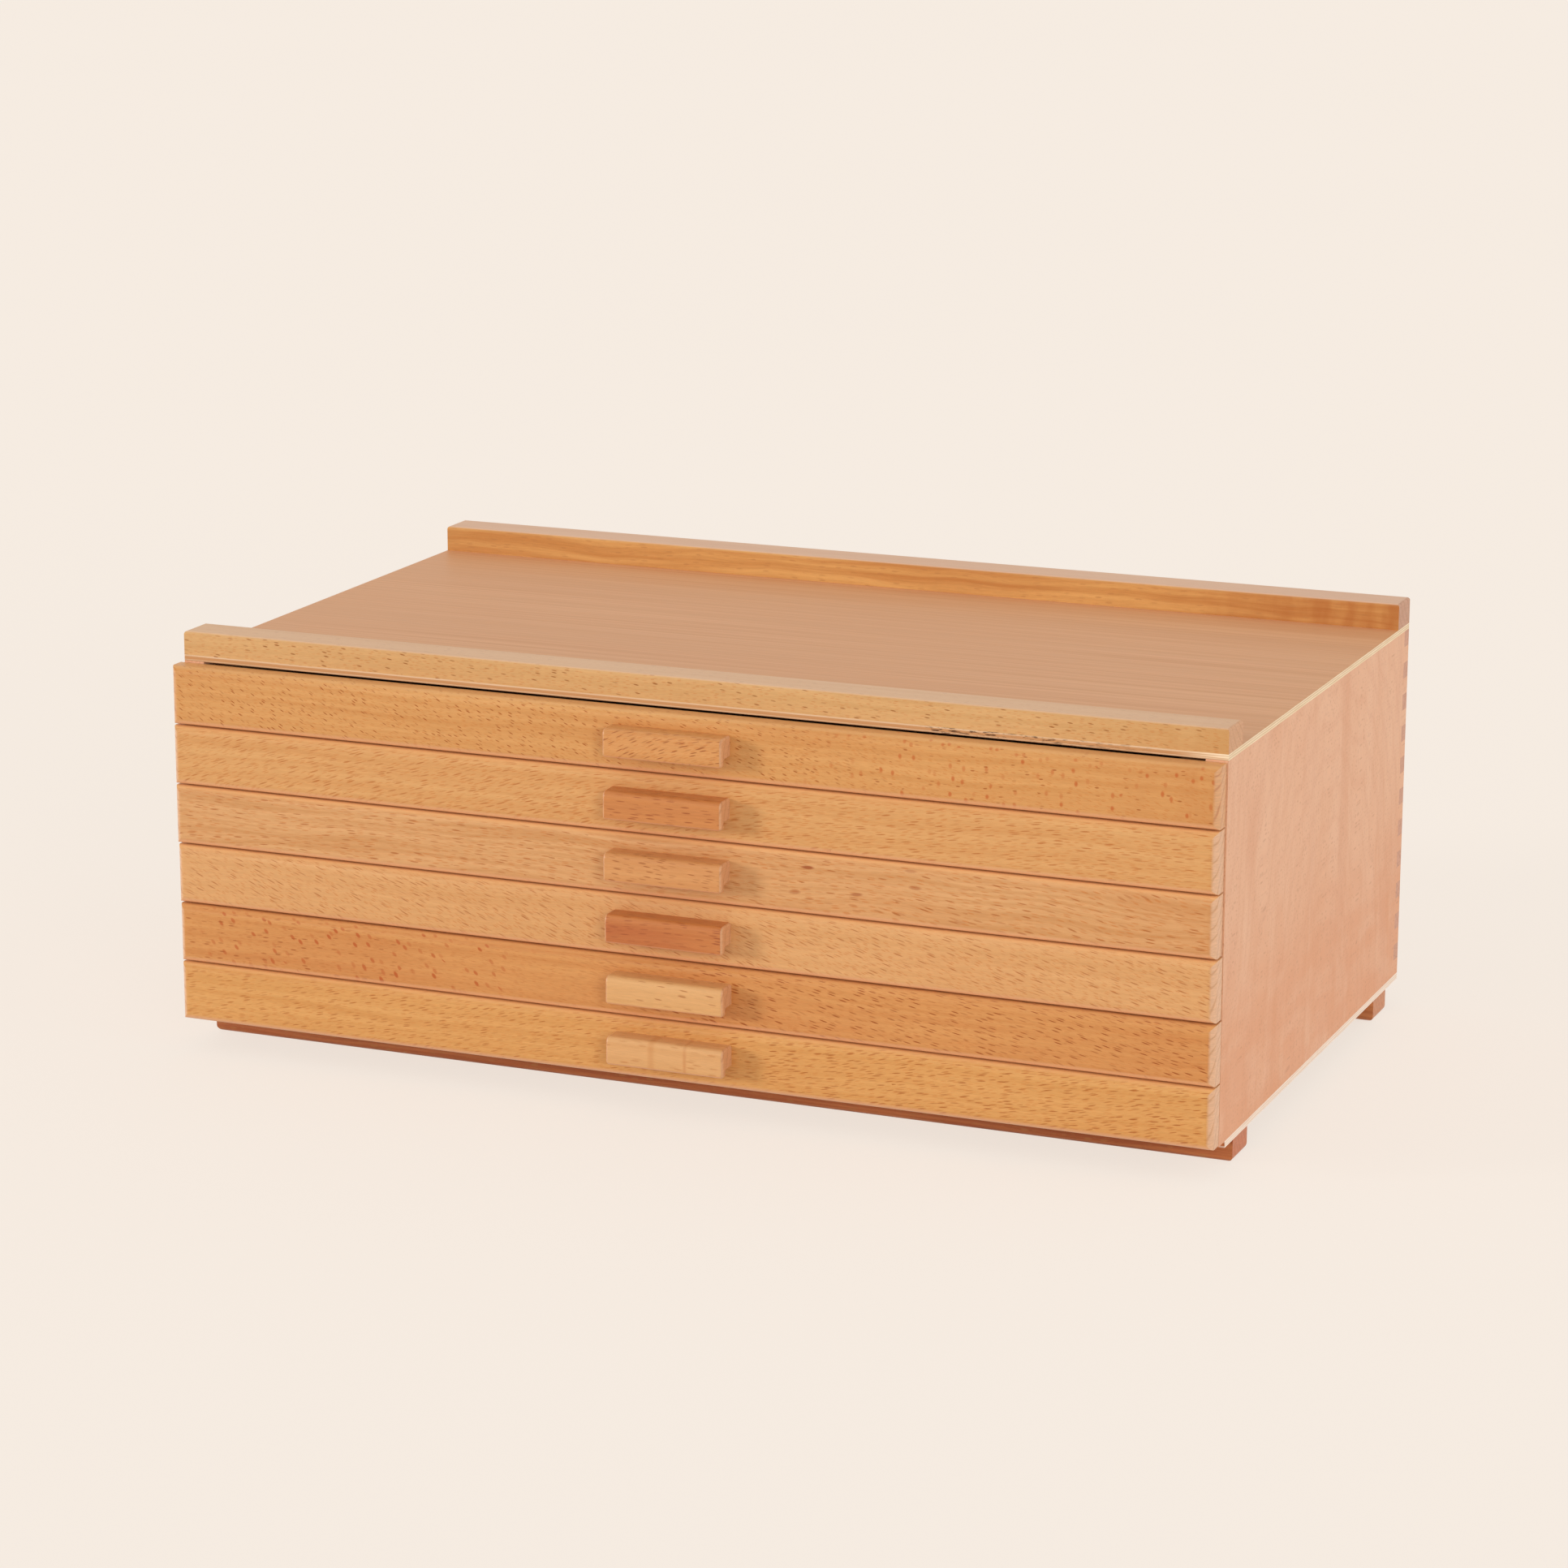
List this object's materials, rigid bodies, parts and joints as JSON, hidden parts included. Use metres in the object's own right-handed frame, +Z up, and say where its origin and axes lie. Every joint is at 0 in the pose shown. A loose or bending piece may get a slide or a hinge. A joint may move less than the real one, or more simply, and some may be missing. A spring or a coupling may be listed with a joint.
{
  "type": "pastel drawer box",
  "caption": "Low wooden art box with shallow full-width drawers that slide forward on wooden runners, small wooden pulls, a plywood tray top between lip rails, and thin foot rails",
  "frame": {"origin": "middle of the whole box's footprint, handles included, on the surface that it stands on", "axes": "+X to the right along the width, +Y to the back, +Z up; the drawers open towards -Y"},
  "size_m": [0.402, 0.247, 0.16],
  "materials": {
    "plywood_top": "satin",
    "plywood_base": "satin",
    "plywood_floor": "matte",
    "case_wood": "satin",
    "lip_wood": "satin",
    "foot_wood": "satin",
    "runner_wood": "matte",
    "front_wood": "satin",
    "handle_wood": "satin",
    "box_wood": "matte",
    "screw_steel": "satin"
  },
  "bodies": {
    "case": {"top_panel": "plywood_top", "base_panel": "plywood_base", "left_side_panel": "case_wood", "right_side_panel": "case_wood", "back_panel": "case_wood", "front_lip_rail": "lip_wood", "rear_lip_rail": "lip_wood", "front_foot_rail": "foot_wood", "rear_foot_rail": "foot_wood", "left_runners": "runner_wood", "right_runners": "runner_wood", "foot_rail_screws": "screw_steel"},
    "drawer_1": {"drawer_1_front": "front_wood", "drawer_1_handle": "handle_wood", "drawer_1_handle_screws": "screw_steel", "drawer_1_left_side": "box_wood", "drawer_1_right_side": "box_wood", "drawer_1_back": "box_wood", "drawer_1_floor": "plywood_floor", "drawer_1_dividers": "box_wood"},
    "drawer_2": {"drawer_2_front": "front_wood", "drawer_2_handle": "handle_wood", "drawer_2_handle_screws": "screw_steel", "drawer_2_left_side": "box_wood", "drawer_2_right_side": "box_wood", "drawer_2_back": "box_wood", "drawer_2_floor": "plywood_floor", "drawer_2_dividers": "box_wood"},
    "drawer_3": {"drawer_3_front": "front_wood", "drawer_3_handle": "handle_wood", "drawer_3_handle_screws": "screw_steel", "drawer_3_left_side": "box_wood", "drawer_3_right_side": "box_wood", "drawer_3_back": "box_wood", "drawer_3_floor": "plywood_floor", "drawer_3_dividers": "box_wood"},
    "drawer_4": {"drawer_4_front": "front_wood", "drawer_4_handle": "handle_wood", "drawer_4_handle_screws": "screw_steel", "drawer_4_left_side": "box_wood", "drawer_4_right_side": "box_wood", "drawer_4_back": "box_wood", "drawer_4_floor": "plywood_floor", "drawer_4_dividers": "box_wood"},
    "drawer_5": {"drawer_5_front": "front_wood", "drawer_5_handle": "handle_wood", "drawer_5_handle_screws": "screw_steel", "drawer_5_left_side": "box_wood", "drawer_5_right_side": "box_wood", "drawer_5_back": "box_wood", "drawer_5_floor": "plywood_floor", "drawer_5_dividers": "box_wood"},
    "drawer_6": {"drawer_6_front": "front_wood", "drawer_6_handle": "handle_wood", "drawer_6_handle_screws": "screw_steel", "drawer_6_left_side": "box_wood", "drawer_6_right_side": "box_wood", "drawer_6_back": "box_wood", "drawer_6_floor": "plywood_floor", "drawer_6_dividers": "box_wood"}
  },
  "joints": [
    {"name": "drawer_1_slide", "type": "slide", "parent": "case", "child": "drawer_1", "axis": [0, -1, 0], "range_m": [0, 0.19]},
    {"name": "drawer_2_slide", "type": "slide", "parent": "case", "child": "drawer_2", "axis": [0, -1, 0], "range_m": [0, 0.19]},
    {"name": "drawer_3_slide", "type": "slide", "parent": "case", "child": "drawer_3", "axis": [0, -1, 0], "range_m": [0, 0.19]},
    {"name": "drawer_4_slide", "type": "slide", "parent": "case", "child": "drawer_4", "axis": [0, -1, 0], "range_m": [0, 0.19]},
    {"name": "drawer_5_slide", "type": "slide", "parent": "case", "child": "drawer_5", "axis": [0, -1, 0], "range_m": [0, 0.19]},
    {"name": "drawer_6_slide", "type": "slide", "parent": "case", "child": "drawer_6", "axis": [0, -1, 0], "range_m": [0, 0.19]}
  ]
}
